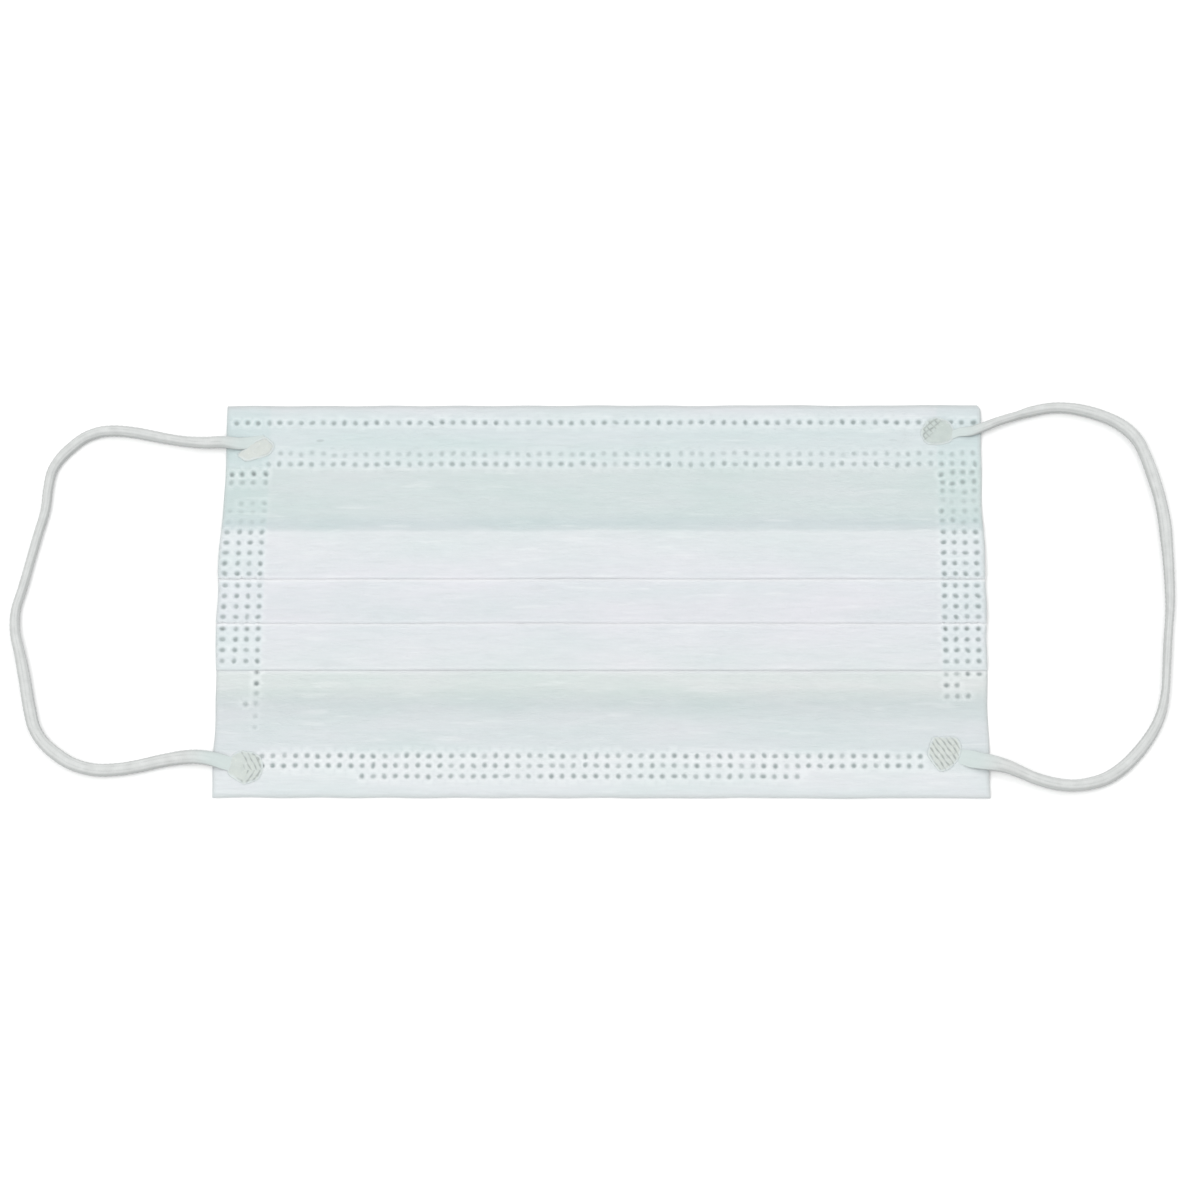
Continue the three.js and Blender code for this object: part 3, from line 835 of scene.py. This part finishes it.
def top_right_knurl(x, y, depth):
    share = smooth(-0.2, 1.2, -0.8 * x + 0.6 * y)
    diamond = np.maximum(cuts(x, y, 128, 1.15), cuts(x, y, 38, 1.15))
    low = bell(depth, 0.3, 0.25) * (1 - share)
    return -0.24 * share * diamond - 0.08 * low - 0.03


def bottom_right_knurl(x, y, depth):
    main = cuts(x, y, 124, 1.10, 0.19)
    cross = cuts(x, y, 34, 1.6, 0.14) * smooth(0.2, 1.6, x - 0.4 * y)
    return -0.30 * np.maximum(main, 0.45 * cross)


def hem_top(y, slope_start=-35.4):
    """Just above the fused laminate: two layers in the hems, one between them. slope_start is
    where the slope up to the bottom hem starts."""
    fused = PRESSED_LAYER * (smooth(slope_start, -36.9, y) + smooth(31.2, 32.9, y))
    return WALL + 0.02 + fused


# Each pad's knurl, and its tone from 0, grey, to 1, pale.
PAD_LOOKS = {
    "top_left": (top_left_knurl, 1.0),
    "bottom_left": (bottom_left_knurl, 0.62),
    "top_right": (top_right_knurl, 0.15),
    "bottom_right": (bottom_right_knurl, 0.85),
}
PAD_CORNER, PAD_OUTLINE_STEP = 1.0, 0.22
PAD_SLOPE_START = -32.0  # a pad bridges the hem's step in a wider slope than the laminate's


def make_pad(place):
    (px, py), corners = PADS[place]
    knurl, tone = PAD_LOOKS[place]
    outline = rounded_outline(corners, PAD_CORNER, PAD_OUTLINE_STEP)
    low, high = outline.min(0), outline.max(0)
    axis = [np.arange(low[i] + 0.07, high[i], PAD_GRID) for i in (0, 1)]
    grid = np.stack(np.meshgrid(*axis, indexing="ij"), -1).reshape(-1, 2)
    grid[:, 1] += np.where((np.round(grid[:, 0] / PAD_GRID).astype(int) % 2) == 0, PAD_GRID / 2, 0)
    grid = grid[inside_depth(grid, outline) > 0.12]
    points = np.vstack([outline, grid])
    _, faces = triangles(points, 1e-6)
    faces = faces[inside_depth(points[faces].mean(axis=1), outline) > 0]
    depth = inside_depth(points, outline).clip(0)
    depth[: len(outline)] = 0
    x, y = points[:, 0], points[:, 1]
    rise = np.sqrt(1 - (1 - np.clip(depth / PAD_SHOULDER, 0, 1)) ** 2)
    body = PAD_RIM + (PAD_HEIGHT - PAD_RIM) * rise
    relief = 0.7 * knurl(x, y, depth) * smooth(0.0, 0.35, depth)
    lumps = 0.02 * ripples(len(place), 8, (1.5, 4), (1.5, 4))(x, y) * smooth(0, 0.5, depth)
    base = hem_top(y + py, PAD_SLOPE_START)
    top = np.stack([x + px, y + py, base + body + relief + lumps], -1)
    bottom = np.stack([outline[:, 0] + px, outline[:, 1] + py, hem_top(outline[:, 1] + py)], -1)
    count, rim = len(top), len(outline)
    quads = [(i, i + count, (i + 1) % rim + count, (i + 1) % rim) for i in range(rim)]
    all_faces = [tuple(f) for f in faces] + quads + [tuple(range(count, count + rim))[::-1]]
    piece = mesh_object(
        "weld_pad_" + place + "_knurled", np.vstack([top, bottom]) * MM, all_faces,
        {"relief": np.concatenate([relief, np.zeros(rim)]),
         "rim": np.concatenate([depth, np.zeros(rim)]), "tone": np.full(count + rim, tone)},
    )
    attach(piece, "root")
    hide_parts("weld_pad_" + place)
    return piece


pads = [make_pad(place) for place in PADS]

# ---- materials


class Shader:
    """A material whose nodes are added by name."""

    def __init__(self, name):
        self.material = bpy.data.materials.new(name)
        self.material.use_nodes = True
        self.tree = self.material.node_tree
        self.surface = self.tree.nodes["Principled BSDF"]
        self.place = self.node("TexCoord").outputs["Object"]

    def node(self, kind, inputs=(), **settings):
        made = self.tree.nodes.new("ShaderNode" + kind)
        for key, value in settings.items():
            setattr(made, key, value)
        for key, value in dict(inputs).items():
            self.feed(made, key, value)
        return made

    def feed(self, node, key, value):
        socket = node.inputs[key]
        if isinstance(value, bpy.types.NodeSocket):
            self.tree.links.new(value, socket)
        elif isinstance(value, bpy.types.Node):
            self.tree.links.new(value.outputs[0], socket)
        else:
            socket.default_value = value

    def dress(self, inputs):
        """Feed the surface's own inputs, and hand the material over."""
        for key, value in inputs.items():
            self.feed(self.surface, key, value)
        return self.material

    def math(self, operation, a, b=0.0, c=0.0):
        return self.node("Math", {0: a, 1: b, 2: c}, operation=operation)

    def times(self, a, b):
        return self.math("MULTIPLY", a, b)

    def between(self, value, start, end, low=0.0, high=1.0):
        """low at start, high at end, straight between them and level outside."""
        return self.node("MapRange", {
            "Value": value, "From Min": start, "From Max": end, "To Min": low, "To Max": high,
        }).outputs["Result"]

    def axis(self, vector, name):
        return self.node("SeparateXYZ", {0: vector}).outputs[name]

    def attribute(self, name):
        return self.node("Attribute", attribute_name=name).outputs["Fac"]

    def noise(self, scale, detail=3.0, rough=0.55, vector=None):
        vector = self.place if vector is None else vector
        inputs = {"Vector": vector, "Scale": scale, "Detail": detail, "Roughness": rough}
        return self.node("TexNoise", inputs).outputs["Fac"]

    def stretched(self, scale, vector=None, shift=0.0):
        vector = self.place if vector is None else vector
        inputs = {"Vector": vector, "Scale": scale, "Location": (shift,) * 3}
        return self.node("Mapping", inputs).outputs["Vector"]

    def streaks(self, scale, detail=3.0, rough=0.55, **options):
        """Noise with a scale of its own along each axis."""
        return self.noise(1.0, detail, rough, self.stretched(scale, **options))

    def ramp(self, factor, *stops):
        node = self.node("ValToRGB", {"Fac": factor})
        elements = node.color_ramp.elements
        while len(elements) < len(stops):
            elements.new(0.5)
        for element, (position, color) in zip(elements, stops):
            element.position = position
            element.color = (*color, 1)
        return node.outputs["Color"]

    def mix(self, factor, a, b, blend="MIX"):
        node = self.node("Mix", data_type="RGBA", blend_type=blend)
        for socket, value in ((0, factor), (6, a), (7, b)):
            self.feed(node, socket, (*value, 1) if isinstance(value, tuple) else value)
        return node.outputs[2]

    def tint(self, share, color, factor, *stops):
        """The colour multiplied by a share of a ramp."""
        return self.mix(share, color, self.ramp(factor, *stops), "MULTIPLY")

    def bump(self, height, strength, distance, normal=None):
        inputs = {"Height": height, "Strength": strength, "Distance": distance}
        if normal is not None:
            inputs["Normal"] = normal
        return self.node("Bump", inputs).outputs["Normal"]


def linear(hex_color, gain=1.0):
    """A linear colour from a pale hex one."""
    parts = (int(hex_color[i : i + 2], 16) / 255 for i in (0, 2, 4))
    return tuple(gain * ((c + 0.055) / 1.055) ** 2.4 for c in parts)


FABRIC_GAIN = 0.80
STRIP_TINT = (0.945, 0.98, 0.975)
STRIP_TINT_LOW = (-0.0178, -0.0172)  # the strips' tint starts here, in metres
# The painted highlight on the weld dots' rims.
PALE_RIM_HIGHLIGHT = (0.80, 0.835, 0.835)
MELTED = (0.28, 0.325, 0.325)
WIRE_MARK = (0.36, 0.40, 0.41)
WIRE_MARK_Y = 0.0388  # in metres, as its half length and half width are
WIRE_MARK_SIZE = (0.00115, 0.00042, 1)
# Painted shade along the panel's outline.
OUTLINE_SHADE = (0.44, 0.46, 0.46)
LIT_FOLD = (0.98, 0.98, 0.99)
# The outer face's tone by y, from the chin edge up: y, colour. The darker bands at y 16.7 to 21
# and -22.6 to -30 are painted shade of the slopes there.
TONES_AND_SHADE = [
    (-47.5, "e4e9eb"), (-37.6, "e8ebed"), (-36.4, "dee4e6"), (-30.0, "dee3e5"),
    (-25.2, "d5dcdd"), (-22.6, "d9e0df"), (-21.0, "e0e5e4"), (-17.9, "e1e6e5"), (-17.5, "e6e9eb"),
    (-6.4, "e6e8ec"), (-6.0, "e4e6ea"), (4.3, "e7e9ed"), (4.7, "e6e8ec"),
    (16.1, "e6eaec"), (16.7, "d9e0e2"), (18.3, "d3dcde"), (21.0, "d8e1e1"), (31.8, "dae2e2"),
    (32.8, "dce5e6"), (44.0, "dde5e7"), (47.5, "e4e7ea"),
]


def fabric_color(m, melted, pale):
    """The outer face's tones with painted shade on two slopes, streaks, dashes of painted
    highlight and shade on small wrinkles, strips, dots with painted highlights on their rims,
    painted shade along the outline, lit folds, and the plain inner face."""
    y = m.axis(m.place, "Y")
    height = m.math(
        "ADD", y, m.math("MULTIPLY_ADD", m.streaks((60, 8, 1), 2.0), 0.0012, -0.0006))
    stops = [((mm + 50) / 100, linear(tone, FABRIC_GAIN)) for mm, tone in TONES_AND_SHADE]
    outer = m.ramp(m.math("MULTIPLY_ADD", height, 10.0, 0.5), *stops)
    inner = m.mix(m.noise(900.0), (0.66, 0.67, 0.66), (0.72, 0.72, 0.71))
    color = m.mix(m.attribute("outer_face"), inner, outer)

    color = m.tint(0.72, color, m.streaks((28, 120, 60), 4.0),
                   (0.32, (0.90, 0.955, 0.94)), (0.68, (1.01, 0.99, 1.005)))
    color = m.tint(0.38, color, m.streaks((170, 1500, 900), 5.0, 0.65),
                   (0.30, (0.90, 0.91, 0.92)), (0.68, (1.05, 1.05, 1.05)))
    # Pale and dark dashes: painted highlight and painted shade of small wrinkles.
    for scale, shift, wrinkle_light_and_shade in (
        ((85, 700, 500), 0.0, (0.78, 0.80, 0.80)), ((110, 820, 500), 3.7, (0.50, 0.53, 0.54)),
    ):
        share = m.between(m.streaks(scale, 2.0, 0.4, shift=shift), 0.63, 0.72, high=0.16)
        color = m.mix(share, color, wrinkle_light_and_shade)
    across = m.math("ABSOLUTE", m.axis(m.place, "X"))
    strip = m.between(across, (STRIP_START - 0.6) * MM, (STRIP_START + 0.2) * MM)
    strip = m.times(strip, m.between(y, *STRIP_TINT_LOW))
    color = m.mix(strip, color, STRIP_TINT, "MULTIPLY")
    # Painted highlight on the dots' rims.
    color = m.mix(m.times(pale, 0.42), color, PALE_RIM_HIGHLIGHT)
    color = m.mix(m.times(melted, 0.82), color, MELTED)
    for x, strength in ((WIRE_LEFT, 0.50), (WIRE_RIGHT, 0.22)):
        moved = m.node(
            "Mapping",
            {"Vector": m.place, "Location": (x * MM, WIRE_MARK_Y, 0), "Scale": WIRE_MARK_SIZE},
            vector_type="TEXTURE")
        flat = m.node("VectorMath", {0: moved, 1: (1, 1, 0)}, operation="MULTIPLY")
        reach = m.node("VectorMath", {0: flat}, operation="LENGTH").outputs["Value"]
        color = m.mix(m.between(reach, 1.0, 0.5, high=strength), color, WIRE_MARK)
    # Painted shade along the outline.
    color = m.mix(m.times(m.attribute("edge"), 0.80), color, OUTLINE_SHADE)
    return m.mix(m.times(m.attribute("fold_light"), 0.92), color, LIT_FOLD)


def fabric_normal(m):
    """Creases, embossed diamonds and fibres, from coarse to fine."""
    diamond = m.node(
        "TexVoronoi", {"Vector": m.stretched((900, 1250, 1000)), "Scale": 1.0, "Randomness": 0.12},
        feature="F1", distance="EUCLIDEAN")
    dents = m.ramp(diamond.outputs["Distance"], (0.12, (0, 0, 0)), (0.34, (1, 1, 1)))
    crease = m.ramp(m.streaks((95, 900, 500), 3.0, 0.5),
                    (0.42, (0, 0, 0)), (0.50, (1, 1, 1)), (0.58, (0.2, 0.2, 0.2)))
    normal = m.bump(crease, 0.22, 0.00022)
    normal = m.bump(dents, 0.20, 0.00006, normal)
    return m.bump(m.streaks((1500, 5200, 4000), 4.0, 0.7), 0.30, 0.00006, normal)


def fabric_material():
    m = Shader("nonwoven_laminate")
    weld = m.attribute("weld")
    melted = m.math("MAXIMUM", weld, 0.0)
    # Below 0, the weld attribute is the painted highlight on the dots' rims.
    pale = m.math("MAXIMUM", m.times(weld, -1.0), 0.0)
    return m.dress({
        "Base Color": fabric_color(m, melted, pale),
        "Roughness": m.math("MULTIPLY_ADD", melted, -0.35, 0.88),
        "Specular IOR Level": 0.25,
        "Sheen Weight": 0.12,
        "Sheen Roughness": 0.4,
        "Subsurface Weight": 0.35,
        "Subsurface Radius": (0.0009, 0.0009, 0.0009),
        "Subsurface Scale": 1.0,
        "Normal": fabric_normal(m),
    })


# Painted shade on the cords: in their grooves, between their loops and on their sides.
CORD_SHADE = (0.36, 0.375, 0.37)
CORD_MELTED = (0.51, 0.58, 0.57)


def elastic_material():
    m = Shader("knitted_elastic")
    uv = m.node("UVMap", uv_map="uv").outputs["UV"]

    def zigzag(value):
        """0.5 at whole numbers, 0 halfway between them."""
        return m.math("ABSOLUTE", m.math("SUBTRACT", m.math("FRACT", value), 0.5))

    column = zigzag(m.times(m.axis(uv, "Y"), float(CORD_WALES)))
    along = m.times(m.axis(uv, "X"), 1 / YARN_LENGTH)
    loops = zigzag(m.math("MULTIPLY_ADD", column, 1.3, along))
    yarn = m.times(m.math("MULTIPLY_ADD", column, -1.4, 1.0), loops)
    mottle = m.noise(420.0, 4.0)
    color = m.ramp(mottle, (0.3, linear("d4d6d5", 0.80)), (0.7, linear("dcdedd", 0.84)))
    # Painted shade in the grooves between the ribs, broken in places.
    broken = m.between(m.streaks((0.4, 9, 1), vector=uv), 0.35, 0.62)
    groove = m.times(m.between(column, 0.20, 0.02, high=0.42), broken)
    color = m.mix(groove, color, CORD_SHADE)
    # Painted shade between the knitted loops.
    color = m.mix(m.between(loops, 0.14, 0.0, high=0.16), color, CORD_SHADE)
    color = m.mix(m.times(m.attribute("melt"), 0.80), color, CORD_MELTED)
    # Painted shade on the cord's sides, darker the less they face up.
    facing = m.axis(m.node("NewGeometry").outputs["Normal"], "Z")
    color = m.mix(m.between(facing, 0.20, 0.94, 0.90, 0.0), color, CORD_SHADE)
    normal = m.bump(yarn, 0.5, 0.00012)
    return m.dress({
        "Base Color": color,
        "Roughness": 0.82,
        "Sheen Weight": 0.25,
        "Specular IOR Level": 0.3,
        "Normal": m.bump(m.noise(5200.0), 0.25, 0.00005, normal),
    })


def pad_material():
    m = Shader("fused_pad")
    tone = m.attribute("tone")
    base = m.ramp(tone, (0.1, linear("cbd5d3", 0.77)), (1.0, linear("dadfdd", 0.765)))
    base = m.tint(0.8, base, m.noise(650.0, 4.0),
                  (0.3, (0.93, 0.94, 0.92)), (0.7, (1.03, 1.03, 1.0)))
    speckle = m.between(m.noise(1500.0, 2.0), 0.60, 0.72, high=0.18)
    base = m.mix(speckle, base, (0.84, 0.86, 0.83))
    cut = m.between(m.attribute("relief"), -0.02, -0.15, high=0.70)
    color = m.mix(cut, base, (0.27, 0.295, 0.285))
    wander = m.math("MULTIPLY_ADD", m.noise(700.0, 2.0), 0.9, -0.25)
    border = m.between(m.math("SUBTRACT", m.attribute("rim"), wander), 0.0, 0.45, 0.7, 0.0)
    return m.dress({
        "Base Color": m.mix(border, color, linear("dde5e6", FABRIC_GAIN)),
        "Roughness": m.ramp(m.noise(1600.0), (0.3, (0.34,) * 3), (0.7, (0.52,) * 3)),
        "Specular IOR Level": 0.45,
        "Subsurface Weight": 0.2,
        "Subsurface Radius": (0.001, 0.001, 0.0008),
        "Normal": m.bump(m.noise(2600.0, 4.0), 0.25, 0.00008),
    })


def wire_material():
    m = Shader("wire_sheath")
    grain = m.streaks((120, 2500, 2500))
    return m.dress({
        "Base Color": m.ramp(grain, (0.3, linear("e4e5e3")), (0.7, linear("f0f0ee"))),
        "Roughness": 0.38,
        "Normal": m.bump(grain, 0.3, 0.00008),
    })


def floor_material():
    m = Shader("pale_floor")
    return m.dress({
        "Base Color": m.ramp(m.noise(3.0, 2.0), (0.2, (0.93,) * 3), (0.8, (0.95,) * 3)),
        "Roughness": 0.9,
        "Specular IOR Level": 0.1,
        "Normal": m.bump(m.noise(900.0), 0.05, 0.0001),
    })


def assign(pieces, material):
    for piece in pieces:
        piece.data.materials.clear()
        piece.data.materials.append(material)


assign([panel], fabric_material())
assign([loop_left, loop_right], elastic_material())
assign(pads, pad_material())
assign([wire], wire_material())

# ---- floor and light


FLOOR_HALF, FLOOR_Z = 3, -0.00005


def make_studio():
    a, z = FLOOR_HALF, FLOOR_Z
    floor = mesh_object("floor", [(-a, -a, z), (a, -a, z), (a, a, z), (-a, a, z)], [(0, 1, 2, 3)])
    assign([floor], floor_material())
    scene = bpy.context.scene
    world = bpy.data.worlds.new("studio")
    world.use_nodes = True
    background = world.node_tree.nodes["Background"]
    background.inputs["Color"].default_value = (0.985, 0.99, 0.985, 1)
    background.inputs["Strength"].default_value = 0.80
    scene.world = world
    for name, place, size, power in (
        ("key", (-0.35, -0.30, 1.15), 0.8, 7.0),
        ("fill", (0.55, 0.60, 1.0), 0.9, 3.5),
    ):
        data = bpy.data.lights.new(name, "AREA")
        data.shape = "SQUARE"
        data.size = size
        data.energy = power
        light = bpy.data.objects.new(name, data)
        light.location = place
        light.rotation_euler = (-Vector(place)).to_track_quat("-Z", "Y").to_euler()
        scene.collection.objects.link(light)
    scene.view_settings.view_transform = "Standard"


make_studio()
